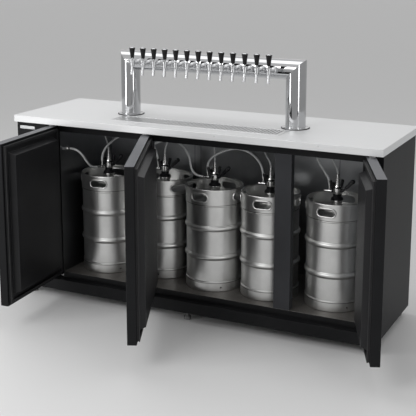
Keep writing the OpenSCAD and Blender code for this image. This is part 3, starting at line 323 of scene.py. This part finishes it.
class Finish:
    """A material on Object coordinates, built up in steps."""

    def __init__(self, name, metallic=0.0, coat=0.0, sheen=0.5):
        self.material = bpy.data.materials.new(name)
        self.material.use_nodes = True
        self.tree = self.material.node_tree
        self.shader = give(self.tree.nodes["Principled BSDF"], Metallic=metallic,
                           Coat_Weight=coat, Specular_IOR_Level=sheen)
        self.where = add(self.tree, "TexCoord")
        self.soft = None

    def at(self, node):
        """This node, reading Object coordinates."""
        wire(self.tree, self.where, "Object", node, "Vector")
        return node

    def place(self, group, **values):
        """A shared group in this material, with its own values."""
        node = self.tree.nodes.new("ShaderNodeGroup")
        node.node_tree = GROUPS[group]
        return give(node, **values)

    def cover(self, mask, colour):
        """A colour, or an output that gives one, over the base colour where the mask is 1."""
        base = self.shader.inputs["Base Color"]
        mix = add(self.tree, "Mix", data_type="RGBA")
        self.tree.links.new(mask, mix.inputs[MIX_FACTOR])
        self.tree.links.new(base.links[0].from_socket, mix.inputs[MIX_A])
        if isinstance(colour, tuple):
            mix.inputs[MIX_B].default_value = (*colour, 1.0)
        else:
            self.tree.links.new(colour, mix.inputs[MIX_B])
        self.tree.links.new(mix.outputs[MIX_RESULT], base)

    def clouds(self, colour, stain, scale):
        """Broad change between two colours; gives the group's node."""
        return self.at(self.place("clouds", Scale=scale, Colour=(*colour, 1.0),
                                  Stain=(*stain, 1.0)))

    def edges(self, radius, edge_highlight=None):
        """Soft edges, with a painted highlight in a paler colour along them."""
        self.soft = self.place("edge", Radius=radius)
        wire(self.tree, self.soft, "Normal", self.shader, "Normal")
        if edge_highlight is not None:
            # Painted highlight: a paler colour laid along the edges
            self.cover(self.soft.outputs["Mask"], edge_highlight)

    def grain(self, scale, low, high, stretch, depth):
        """Grain in the roughness, and in the surface where it has depth."""
        node = self.at(self.place("grain", Scale=scale, Low=low, High=high, Stretch=stretch))
        wire(self.tree, node, "Value", self.shader, "Roughness")
        if depth:
            bump = give(add(self.tree, "Bump"), Strength=depth, Distance=0.0002)
            wire(self.tree, node, "Height", bump, "Height")
            if self.soft:
                wire(self.tree, self.soft, "Normal", bump, "Normal")
            wire(self.tree, bump, "Normal", self.shader, "Normal")

    def axis_mask(self, axis, level, above=True):
        """1 on one side of a plane across an axis, 0 on the other."""
        split = self.at(add(self.tree, "SeparateXYZ"))
        test = add(self.tree, "Math", operation="GREATER_THAN" if above else "LESS_THAN")
        wire(self.tree, split, axis, test, 0)
        test.inputs[1].default_value = level
        return test

    def seams(self, axis, levels, width, colour):
        """Dark lines across an axis: real joints, or a weld line that also stands for painted
        shadow.
        """
        split = self.at(add(self.tree, "SeparateXYZ"))
        for level in levels:
            off = add(self.tree, "Math", operation="SUBTRACT")
            wire(self.tree, split, axis, off, 0)
            off.inputs[1].default_value = level
            size = add(self.tree, "Math", operation="ABSOLUTE")
            wire(self.tree, off, 0, size, 0)
            near = give(add(self.tree, "MapRange"), From_Min=width, From_Max=width * 0.4)
            wire(self.tree, size, 0, near, "Value")
            self.cover(near.outputs["Result"], colour)

    def second(self, mask, colour, rough, metal=False):
        """Another colour and roughness under a mask, and bare metal if asked."""
        self.cover(mask.outputs[0], colour)
        roughness = self.shader.inputs["Roughness"]
        blend = add(self.tree, "Mix")
        wire(self.tree, mask, 0, blend, MIX_FACTOR)
        self.tree.links.new(roughness.links[0].from_socket, blend.inputs[BLEND_A])
        blend.inputs[BLEND_B].default_value = rough
        self.tree.links.new(blend.outputs[BLEND_RESULT], roughness)
        if metal:
            wire(self.tree, mask, 0, self.shader, "Metallic")


def finish(key, name, colour, stain, scale, edge, grain, edge_highlight=None, stretch=(1.0, 1.0, 1.0),
           depth=0.0, **shader):
    """A finish in its usual steps: broad clouds, soft edges with their painted highlight, then
    grain.
    """
    made = Finish(name, **shader)
    wire(made.tree, made.clouds(colour, stain, scale), "Colour", made.shader, "Base Color")
    if edge:
        made.edges(edge, edge_highlight)
    made.grain(*grain, stretch, depth)
    FINISHES[key] = made
    return made


def black_paint(key, name, colour):
    """Textured satin paint with a painted highlight in a paler colour along its edges."""
    return finish(key, name, colour, shade(colour, 1.4), 3.0, edge=0.0016,
                  edge_highlight=shade(colour, 4.5), grain=(900.0, 0.38, 0.52), depth=0.12, sheen=0.12)


def sheet_behind(key, name, paint, sheet, axis, level, above=False):
    """Black paint outside and plain grey sheet on the side towards the cold room."""
    made = black_paint(key, name, paint)
    inner = made.clouds(sheet, shade(sheet, 0.72), 2.2)
    made.second(made.axis_mask(axis, level, above), inner.outputs["Colour"], 0.33, metal=True)
    return made


def build_finishes(colours):
    """Every finish of the dispenser, by its name."""
    GROUPS.update(grain=grain_group(), clouds=clouds_group(), edge=edge_group())
    paint, sheet, worktop, keg, chrome, hose = (
        tuple(getattr(colours, name))
        for name in ("paint", "sheet", "worktop", "keg", "chrome", "hose"))

    black_paint("paint", "Black Textured Paint", paint)
    # Posts: the same black paint made lighter, a painted highlight for the light falling on them
    black_paint("post", "Black Post Paint With Painted Highlight", shade(paint, 4.6))
    made = black_paint("door_paint", "Black Door Paint", paint)
    # Door tops: the black paint made lighter above DOOR_TOP, a painted highlight where light falls
    # on the open doors' top faces
    made.second(made.axis_mask("Z", DOOR_TOP), shade(paint, 16), 0.34)

    finish("sheet", "Cold Room Sheet", sheet, shade(sheet, 0.75), 2.2, edge=0.0012,
           grain=(60.0, 0.24, 0.36), stretch=(1.0, 1.0, 0.06), depth=0.06, metallic=1.0)
    sheet_behind("right_wall", "Right End Sheet", paint, sheet, "X", RIGHT_FACE)
    # Bulkhead: the cold room's sheet at 0.4 of its colour, painted shade on the left inner wall
    sheet_behind("bulkhead", "Bulkhead Sheet", paint, shade(sheet, 0.4), "X", BULKHEAD_FACE,
                 above=True)
    made = sheet_behind("back", "Back Sheet", paint, sheet, "Y", BACK_FACE)
    made.seams("X", BACK_SEAMS, 0.0022, (0.05, 0.05, 0.055))

    made = finish("floor_pan", "Floor Pan", (0.19, 0.18, 0.168), (0.12, 0.112, 0.104), 7.0,
                  edge=0.0015, edge_highlight=(0.30, 0.29, 0.28), grain=(140.0, 0.42, 0.62), depth=0.1,
                  metallic=0.55)
    made.second(made.axis_mask("Z", PAN_EDGE, above=False), shade(paint, 1.2), 0.5)

    brushed_along = (0.03, 1.0, 1.0)
    finish("worktop", "Satin Worktop", worktop, shade(worktop, 0.97), 0.8, edge=0.003,
           grain=(160.0, 0.46, 0.54), stretch=brushed_along, depth=0.02, metallic=0.6)
    finish("tray", "Brushed Tray", (0.64, 0.645, 0.65), (0.57, 0.575, 0.58), 9.0, edge=0.0008,
           grain=(160.0, 0.26, 0.40), stretch=brushed_along, depth=0.08, metallic=0.8)

    made = finish("keg", "Keg Steel", keg, shade(keg, 0.86), 6.0, edge=0.001,
                  grain=(70.0, 0.31, 0.41), stretch=(0.08, 0.08, 6.0), depth=0.04,
                  metallic=1.0)
    # Dark lines at the collars' welds, partly weld and partly painted shadow under the collars'
    # steps
    made.seams("Z", KEG_WELD_SHADOWS, 0.0020, (0.10, 0.098, 0.092))

    finish("chrome", "Tower Chrome", chrome, shade(chrome, 0.9), 5.0, edge=0.001,
           grain=(35.0, 0.025, 0.06), metallic=1.0)
    finish("faucet", "Faucet Chrome", (0.60, 0.605, 0.615), (0.50, 0.505, 0.515), 20.0,
           edge=0.001, grain=(90.0, 0.25, 0.34), metallic=1.0)
    finish("fitting", "Bright Fittings", (0.74, 0.74, 0.73), (0.56, 0.56, 0.55), 40.0,
           edge=0.0006, grain=(400.0, 0.12, 0.24), metallic=1.0)

    # Black grip between a plated stem and a plated cap
    made = finish("handle", "Tap Handle", (0.005, 0.005, 0.0055), (0.009, 0.009, 0.0095), 30.0,
                  edge=0.0008, grain=(220.0, 0.16, 0.26), coat=0.08, sheen=0.25)
    plated = add(made.tree, "Math", operation="MAXIMUM")
    wire(made.tree, made.axis_mask("Z", HANDLE_STEM, above=False), 0, plated, 0)
    wire(made.tree, made.axis_mask("Z", HANDLE_CAP), 0, plated, 1)
    made.second(plated, (0.40, 0.405, 0.41), 0.14, metal=True)

    finish("coupler", "Coupler Black", (0.006, 0.006, 0.007), (0.012, 0.012, 0.013), 25.0,
           edge=0.0008, edge_highlight=(0.035, 0.035, 0.038), grain=(300.0, 0.26, 0.42), depth=0.08,
           sheen=0.3)
    finish("hose", "Cloudy Hose", hose, shade(hose, 0.82), 30.0, edge=None,
           grain=(120.0, 0.22, 0.34), coat=0.25)
    finish("seal", "Door Rubber", (0.012, 0.012, 0.013), (0.02, 0.02, 0.021), 20.0,
           edge=0.002, edge_highlight=(0.04, 0.04, 0.042), grain=(500.0, 0.50, 0.66), depth=0.1,
           sheen=0.3)
    finish("door_panel", "Door Panel", (0.0095, 0.0095, 0.0105), (0.014, 0.014, 0.0155), 5.0,
           edge=0.004, edge_highlight=(0.045, 0.045, 0.048), grain=(700.0, 0.34, 0.46), depth=0.06,
           sheen=0.26)
    finish("foot", "Foot Metal", (0.26, 0.26, 0.26), (0.18, 0.18, 0.18), 40.0, edge=0.001,
           grain=(300.0, 0.34, 0.5), metallic=1.0)
    finish("coil", "Coil Metal", (0.62, 0.62, 0.62), (0.48, 0.47, 0.45), 12.0, edge=0.0006,
           grain=(250.0, 0.32, 0.5), stretch=(1.0, 1.0, 0.1), metallic=1.0)
    finish("fan", "Fan Plastic", (0.02, 0.02, 0.022), (0.03, 0.03, 0.033), 15.0, edge=0.0006,
           grain=(500.0, 0.45, 0.6), sheen=0.3)
    finish("plate", "Bare Plate", (0.46, 0.465, 0.47), (0.36, 0.365, 0.37), 14.0, edge=0.0006,
           grain=(250.0, 0.26, 0.4), stretch=(0.05, 1.0, 1.0), metallic=1.0)


NODE_FINISHES = {
    "paint": ["left_side_cover", "header_rail", "base_frame", "louvre_panel"],
    "door_paint": [f"{door}_shell" for door in DOORS],
    "post": ["mullions"],
    "right_wall": ["right_wall"],
    "bulkhead": ["left_bulkhead"],
    "back": ["back_panel"],
    "sheet": ["roof_panel"],
    "floor_pan": ["floor_panel"],
    "worktop": ["worktop"],
    "tray": ["drip_tray", "drip_grid"],
    "keg": KEGS,
    "chrome": ["tower_columns", "tower_crossbar"],
    "faucet": ["tap_shanks", "faucet_bodies"],
    "fitting": ["line_fittings", "hinge_brackets"],
    "handle": HANDLES,
    "coupler": ["coupler_bodies"] + LEVERS,
    "hose": ["beer_lines", "gas_lines"],
    "seal": [f"{door}_seal" for door in DOORS],
    "door_panel": [f"{door}_liner" for door in DOORS],
    "foot": ["feet"],
    "coil": ["condenser", "evaporator"],
    "fan": ["condenser_fan", "evaporator_fan", "compressor"],
}


# Building pieces

def dress(obj, key):
    obj.data.materials.clear()
    obj.data.materials.append(FINISHES[key].material)


def put(name, data):
    """An object with this data, in the scene."""
    obj = bpy.data.objects.new(name, data)
    bpy.context.scene.collection.objects.link(obj)
    return obj


def fit(obj, body, key):
    """Gives a piece its finish and the body that it rides on."""
    dress(obj, key)
    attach(obj, body)


def object_from(name, mesh, body, key, smooth=True):
    """A finished piece from a bmesh, riding on its body."""
    data = bpy.data.meshes.new(name)
    bmesh.ops.recalc_face_normals(mesh, faces=mesh.faces)
    mesh.to_mesh(data)
    mesh.free()
    for face in data.polygons:
        face.use_smooth = smooth
    fit(put(name, data), body, key)


def turned(mesh, profile, steps):
    """A profile turned about Z; gives its vertices. A ring's profile ends where it starts."""
    before = set(mesh.verts)
    ring = profile[0] == profile[-1]
    points = profile[:-1] if ring else profile
    line = [mesh.verts.new((radius / MM, 0.0, height / MM)) for radius, height in points]
    ends = line[1:] + line[:1] if ring else line[1:]
    edges = [mesh.edges.new(pair) for pair in zip(line, ends)]
    bmesh.ops.spin(mesh, geom=line + edges, cent=(0, 0, 0), axis=(0, 0, 1), dvec=(0, 0, 0),
                   angle=2 * math.pi, steps=steps, use_merge=True)
    return [v for v in mesh.verts if v not in before]


def join_poles(mesh):
    """Closes the turned shapes where their profiles meet the axis."""
    bmesh.ops.remove_doubles(mesh, verts=mesh.verts, dist=0.00001)


def dome(mesh, centre, axis, radius, height):
    """A low domed head that sits on a face, towards an axis."""
    before = set(mesh.verts)
    made = bmesh.ops.create_uvsphere(mesh, u_segments=20, v_segments=10, radius=1.0)
    cut = bmesh.ops.bisect_plane(
        mesh, geom=made["verts"] + list({e for v in made["verts"] for e in v.link_edges})
        + list({f for v in made["verts"] for f in v.link_faces}),
        plane_co=(0, 0, 0), plane_no=(0, 0, -1), clear_outer=True)
    ring = [e for e in cut["geom_cut"] if isinstance(e, bmesh.types.BMEdge)]
    bmesh.ops.contextual_create(mesh, geom=ring)
    verts = [v for v in mesh.verts if v not in before]
    turn = Vector((0, 0, 1)).rotation_difference(Vector(axis)).to_matrix().to_4x4()
    bmesh.ops.scale(mesh, vec=(radius, radius, height), verts=verts)
    bmesh.ops.rotate(mesh, cent=(0, 0, 0), matrix=turn, verts=verts)
    bmesh.ops.translate(mesh, vec=centre, verts=verts)


def tube(name, radius, resolution):
    """A curve's data that shows as a round tube."""
    data = bpy.data.curves.new(name, "CURVE")
    data.dimensions = "3D"
    data.bevel_depth = radius
    data.bevel_resolution = resolution
    return data


def hose_curve(name, route, diameter):
    """A smooth curve along a route's points, and its length."""
    data = tube(name, diameter / 2, 5)
    data.resolution_u = 16
    data.use_fill_caps = True
    spline = data.splines.new("BEZIER")
    spline.bezier_points.add(len(route) - 1)
    for point, place_mm in zip(spline.bezier_points, route):
        point.co = Vector(place_mm) / MM
        point.handle_left_type = point.handle_right_type = "AUTO"
    return put(name, data), spline.calc_length()


# Operators, one for the stage and one for each piece or group of like pieces

class DISPENSER_OT_stage(bpy.types.Operator):
    """Camera, pale floor and soft studio lamps"""
    bl_idname = "dispenser.stage"
    bl_label = "Stage"

    def execute(self, context):
        settings = context.scene.dispenser_stage
        self.camera(context.scene, settings)
        self.floor(settings.floor_colour)
        for name, place, aim, size, share in LAMPS:
            light = bpy.data.lights.new(name, "AREA")
            light.shape = "RECTANGLE"
            light.size, light.size_y = size
            light.energy = settings.lamp_power * share
            lamp = put(name, light)
            lamp.location = place
            if aim:
                look = Vector(aim) - Vector(place)
                lamp.rotation_euler = look.to_track_quat("-Z", "Y").to_euler()
        self.world(context.scene, settings.floor_colour)
        context.scene.view_settings.view_transform = "Standard"
        return {"FINISHED"}

    def camera(self, scene, settings):
        lens = bpy.data.cameras.new("Camera")
        lens.lens = settings.lens
        lens.sensor_width = 36.0
        lens.shift_y = settings.rise
        lens.clip_end = 120.0
        camera = put("Camera", lens)
        camera.location = settings.camera_place
        camera.rotation_euler = settings.camera_turn
        scene.camera = camera

    def floor(self, colour):
        mesh = bmesh.new()
        bmesh.ops.create_grid(mesh, x_segments=1, y_segments=1, size=FLOOR_SIZE)
        data = bpy.data.meshes.new("Floor")
        mesh.to_mesh(data)
        mesh.free()
        material = bpy.data.materials.new("Pale Floor")
        material.use_nodes = True
        give(material.node_tree.nodes["Principled BSDF"], Base_Color=(*colour, 1.0),
             Roughness=0.55)
        data.materials.append(material)
        put("Floor", data)

    def world(self, scene, colour):
        """White light on the object, and the floor's colour where the background is seen."""
        world = bpy.data.worlds.new("Studio")
        scene.world = world
        world.use_nodes = True
        tree = world.node_tree
        tree.nodes.clear()
        lit = give(add(tree, "Background"), Color=(1.0, 1.0, 1.0, 1.0), Strength=WORLD_LIGHT)
        seen = give(add(tree, "Background"), Color=(*colour, 1.0), Strength=1.0)
        path = add(tree, "LightPath")
        either = add(tree, "Math", operation="MAXIMUM")
        wire(tree, path, "Is Camera Ray", either, 0)
        wire(tree, path, "Is Glossy Ray", either, 1)
        any_of = add(tree, "Math", operation="MAXIMUM")
        wire(tree, either, 0, any_of, 0)
        wire(tree, path, "Is Transmission Ray", any_of, 1)
        mix = add(tree, "MixShader")
        wire(tree, any_of, 0, mix, 0)
        wire(tree, lit, 0, mix, 1)
        wire(tree, seen, 0, mix, 2)
        wire(tree, mix, 0, add(tree, "OutputWorld"), 0)


class DISPENSER_OT_finishes(bpy.types.Operator):
    """Finishes of the cabinet, tower, kegs and machine parts"""
    bl_idname = "dispenser.finishes"
    bl_label = "Finishes"

    def execute(self, context):
        build_finishes(context.scene.dispenser_finish)
        for key, names in NODE_FINISHES.items():
            for name in names:
                dress(NODES[name], key)
        return {"FINISHED"}


class DISPENSER_OT_hoses(bpy.types.Operator):
    """Beer hoses and gas hoses, each one smooth run between its fittings"""
    bl_idname = "dispenser.hoses"
    bl_label = "Hoses"

    def execute(self, context):
        sizes = context.scene.dispenser_trim
        for kind, routes, diameter in (("beer", BEER_ROUTES, sizes.beer_hose),
                                       ("gas", GAS_ROUTES, sizes.gas_hose)):
            for number, route in enumerate(routes, 1):
                hose, length = hose_curve(f"{kind}_hose_{number}", route, diameter)
                fit(hose, "cabinet", "hose")
                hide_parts(f"{kind}_lines")
        return {"FINISHED"}


class DISPENSER_OT_hose_clamps(bpy.types.Operator):
    """Bands that hold the hoses on their fittings"""
    bl_idname = "dispenser.hose_clamps"
    bl_label = "Hose clamps"

    def execute(self, context):
        sizes = context.scene.dispenser_trim
        proud, width, inset, soft = 0.0013, 0.0055, 0.0045, 0.0006
        mesh = bmesh.new()
        for routes, diameter in ((BEER_ROUTES, sizes.beer_hose), (GAS_ROUTES, sizes.gas_hose)):
            radius = diameter / 2 + proud
            for end, inner in [pair for route in routes
                               for pair in ((route[0], route[1]), (route[-1], route[-2]))]:
                start = Vector(end) / MM
                along = (Vector(inner) / MM - start).normalized()
                turn = Vector((0, 0, 1)).rotation_difference(along).to_matrix().to_4x4()
                made = bmesh.ops.create_cone(
                    mesh, cap_ends=True, segments=32, radius1=radius, radius2=radius,
                    depth=width, matrix=Matrix.Translation(start + along * inset) @ turn)
                rims = {e for v in made["verts"] for e in v.link_edges
                        if e.calc_face_angle(0.0) > 1.0}
                bmesh.ops.bevel(mesh, geom=list(rims), offset=soft, segments=2, profile=0.5,
                                affect="EDGES", material=-1)
        object_from("hose_clamps", mesh, "cabinet", "fitting")
        return {"FINISHED"}


class DISPENSER_OT_coupler_shanks(bpy.types.Operator):
    """Turned shanks of the couplers and bright rings round their feet"""
    bl_idname = "dispenser.coupler_shanks"
    bl_label = "Coupler shanks"

    def execute(self, context):
        for number, (x, y) in enumerate(KEG_PLACES, 1):
            mesh = bmesh.new()
            turned(mesh, SHANK, 40)
            turned(mesh, FOOT_RING, 40)
            join_poles(mesh)
            bmesh.ops.translate(mesh, vec=(x, y, 0), verts=mesh.verts)
            object_from(f"coupler_{number}_shank", mesh, "cabinet", "fitting",
                        smooth=False)
        return {"FINISHED"}


class DISPENSER_OT_coupler_horns(bpy.types.Operator):
    """Short black horns on both sides of the couplers' shanks"""
    bl_idname = "dispenser.coupler_horns"
    bl_label = "Coupler horns"

    def execute(self, context):
        lean = Matrix.Rotation(math.radians(HORN_LEAN), 4, "Y")
        for number, (x, y) in enumerate(KEG_PLACES, 1):
            mesh = bmesh.new()
            for side in HORN_SIDES:
                spot = (Matrix.Translation((x, y, HORN_LEVEL))
                        @ Matrix.Rotation(math.radians(side), 4, "Z")
                        @ Matrix.Translation((HORN_OUT, 0.0, 0.0)) @ lean)
                bmesh.ops.transform(mesh, matrix=spot, verts=turned(mesh, HORN, 28))
            join_poles(mesh)
            object_from(f"coupler_{number}_horns", mesh, "cabinet", "coupler")
        return {"FINISHED"}


class DISPENSER_OT_lever_grips(bpy.types.Operator):
    """Thick black grips on the arms of the couplers' levers"""
    bl_idname = "dispenser.lever_grips"
    bl_label = "Lever grips"

    def execute(self, context):
        turn = Matrix.Rotation(math.radians(90 - LEVER_RISE), 4, "Y")
        for lever, (x, y) in zip(LEVERS, KEG_PLACES):
            mesh = bmesh.new()
            spot = Matrix.Translation((x + PIN_OUT, y, PIN_LEVEL)) @ turn
            bmesh.ops.transform(mesh, matrix=spot, verts=turned(mesh, GRIP, 32))
            join_poles(mesh)
            object_from(f"{lever}_grip", mesh, f"{lever}_body", "coupler")
        return {"FINISHED"}


class DISPENSER_OT_flange_gaskets(bpy.types.Operator):
    """Thin black gaskets under the flanges of the tower"""
    bl_idname = "dispenser.flange_gaskets"
    bl_label = "Flange gaskets"

    def execute(self, context):
        mesh = bmesh.new()
        for x, y in COLUMNS:
            bmesh.ops.create_cone(mesh, cap_ends=True, segments=96, radius1=GASKET_RADIUS,
                                  radius2=GASKET_RADIUS, depth=GASKET_THICK,
                                  matrix=Matrix.Translation((x, y, GASKET_LEVEL)))
        object_from("flange_gaskets", mesh, "cabinet", "seal", smooth=False)
        return {"FINISHED"}


class DISPENSER_OT_flange_bolts(bpy.types.Operator):
    """Domed bolts in the flanges of the tower"""
    bl_idname = "dispenser.flange_bolts"
    bl_label = "Flange bolts"

    def execute(self, context):
        radius = context.scene.dispenser_trim.bolt
        mesh = bmesh.new()
        for x, y in COLUMNS:
            for turn in range(4):
                angle = math.radians(45 + 90 * turn)
                spot = (x + BOLT_CIRCLE * math.cos(angle), y + BOLT_CIRCLE * math.sin(angle),
                        FLANGE_TOP)
                dome(mesh, spot, (0, 0, 1), radius, radius * 0.55)
        object_from("flange_bolts", mesh, "cabinet", "chrome")
        return {"FINISHED"}


class DISPENSER_OT_keg_ribs(bpy.types.Operator):
    """Broad rolled ribs over the hoops of the kegs, and narrow beads beside the collars"""
    bl_idname = "dispenser.keg_ribs"
    bl_label = "Keg ribs"

    def execute(self, context):
        # Half height and reach out of the keg's wall
        rib = (context.scene.dispenser_trim.rib / 2, 0.0092)
        bead = (0.0052, 0.0042)
        rings = [(level, *rib) for level in KEG_HOOPS] + [(level, *bead) for level in KEG_BEADS]
        for number, (x, y) in enumerate(KEG_PLACES, 1):
            mesh = bmesh.new()
            for level, half, out in rings:
                profile = []
                for step in range(17):
                    share = step / 8 - 1
                    swell = out * (0.5 + 0.5 * math.cos(math.pi * abs(share) ** 1.35))
                    profile.append(((KEG_WALL + swell) * MM, (level + share * half) * MM))
                turned(mesh, profile + profile[:1], 96)
            bmesh.ops.translate(mesh, vec=(x, y, 0), verts=mesh.verts)
            object_from(f"keg_{number}_ribs", mesh, "cabinet", "keg")
        return {"FINISHED"}


class DISPENSER_OT_hand_hole_rims(bpy.types.Operator):
    """Rolled edges of the kegs' hand holes"""
    bl_idname = "dispenser.hand_hole_rims"
    bl_label = "Hand hole rims"

    def execute(self, context):
        # Distance from the keg's axis, half the straight run, half the height, and the middle
        reach, run, half, level = 0.1652, 0.0305, 0.0232, 0.697
        outline = []
        for end in (1, -1):
            for step in range(13):
                angle = math.radians(-90 * end + 15 * step)
                outline.append((end * run + half * math.cos(angle), half * math.sin(angle)))
        for number, ((x, y), turn) in enumerate(zip(KEG_PLACES, KEG_TURNS), 1):
            for quarter in range(4):
                data = tube("rim", context.scene.dispenser_trim.hole_rim, 4)
                spline = data.splines.new("POLY")
                spline.points.add(len(outline) - 1)
                for point, (along, up) in zip(spline.points, outline):
                    angle = math.radians(turn + 90 * quarter) + along / reach
                    point.co = (x + reach * math.cos(angle), y + reach * math.sin(angle),
                                level + up, 1.0)
                spline.use_cyclic_u = True
                rim = put(f"keg_{number}_rim_{quarter + 1}", data)
                fit(rim, "cabinet", "keg")
        return {"FINISHED"}


class DISPENSER_OT_edge_screws(bpy.types.Operator):
    """Small screws in the front edge of the worktop"""
    bl_idname = "dispenser.edge_screws"
    bl_label = "Edge screws"

    def execute(self, context):
        mesh = bmesh.new()
        for x in SCREWS_X:
            dome(mesh, (x, WORKTOP_FRONT, SCREW_LEVEL), (0, -1, 0), SCREW_RADIUS, SCREW_RISE)
        object_from("edge_screws", mesh, "cabinet", "tray")
        return {"FINISHED"}


class DISPENSER_OT_plate(bpy.types.Operator):
    """Bare plate on the front cover of the machine compartment"""
    bl_idname = "dispenser.plate"
    bl_label = "Bare plate"

    def execute(self, context):
        mesh = bmesh.new()
        bmesh.ops.create_cube(mesh, size=1.0)
        bmesh.ops.scale(mesh, vec=PLATE_SIZE, verts=mesh.verts)
        bmesh.ops.translate(mesh, vec=PLATE_MIDDLE, verts=mesh.verts)
        bmesh.ops.bevel(mesh, geom=mesh.edges, offset=0.0006, segments=2, profile=0.5,
                        affect="EDGES", material=-1)
        object_from("bare_plate", mesh, "cabinet", "plate", smooth=False)
        return {"FINISHED"}


class DISPENSER_PT_panel(bpy.types.Panel):
    """Pieces of the dispenser"""
    bl_idname = "DISPENSER_PT_panel"
    bl_label = "Draft Beer Dispenser"
    bl_space_type = "VIEW_3D"
    bl_region_type = "UI"
    bl_category = "Dispenser"

    def draw(self, context):
        for operator in OPERATORS:
            self.layout.operator(operator.bl_idname)
        for settings in (context.scene.dispenser_stage, context.scene.dispenser_finish,
                         context.scene.dispenser_trim):
            column = self.layout.column()
            for name in settings.__annotations__:
                column.prop(settings, name)


SETTINGS = (StageSettings, FinishSettings, TrimSettings)
OPERATORS = (DISPENSER_OT_stage, DISPENSER_OT_finishes, DISPENSER_OT_hoses,
             DISPENSER_OT_hose_clamps, DISPENSER_OT_coupler_shanks,
             DISPENSER_OT_coupler_horns, DISPENSER_OT_lever_grips,
             DISPENSER_OT_flange_gaskets, DISPENSER_OT_flange_bolts, DISPENSER_OT_keg_ribs,
             DISPENSER_OT_hand_hole_rims, DISPENSER_OT_edge_screws, DISPENSER_OT_plate)
CLASSES = SETTINGS + OPERATORS + (DISPENSER_PT_panel,)


def register():
    for cls in CLASSES:
        bpy.utils.register_class(cls)
    bpy.types.Scene.dispenser_stage = PointerProperty(type=StageSettings)
    bpy.types.Scene.dispenser_finish = PointerProperty(type=FinishSettings)
    bpy.types.Scene.dispenser_trim = PointerProperty(type=TrimSettings)


def unregister():
    del bpy.types.Scene.dispenser_trim
    del bpy.types.Scene.dispenser_finish
    del bpy.types.Scene.dispenser_stage
    for cls in reversed(CLASSES):
        bpy.utils.unregister_class(cls)


def main():
    register()
    for operator in OPERATORS:
        name = operator.bl_idname.split(".")[1]
        getattr(bpy.ops.dispenser, name)()


if __name__ == "__main__":
    main()
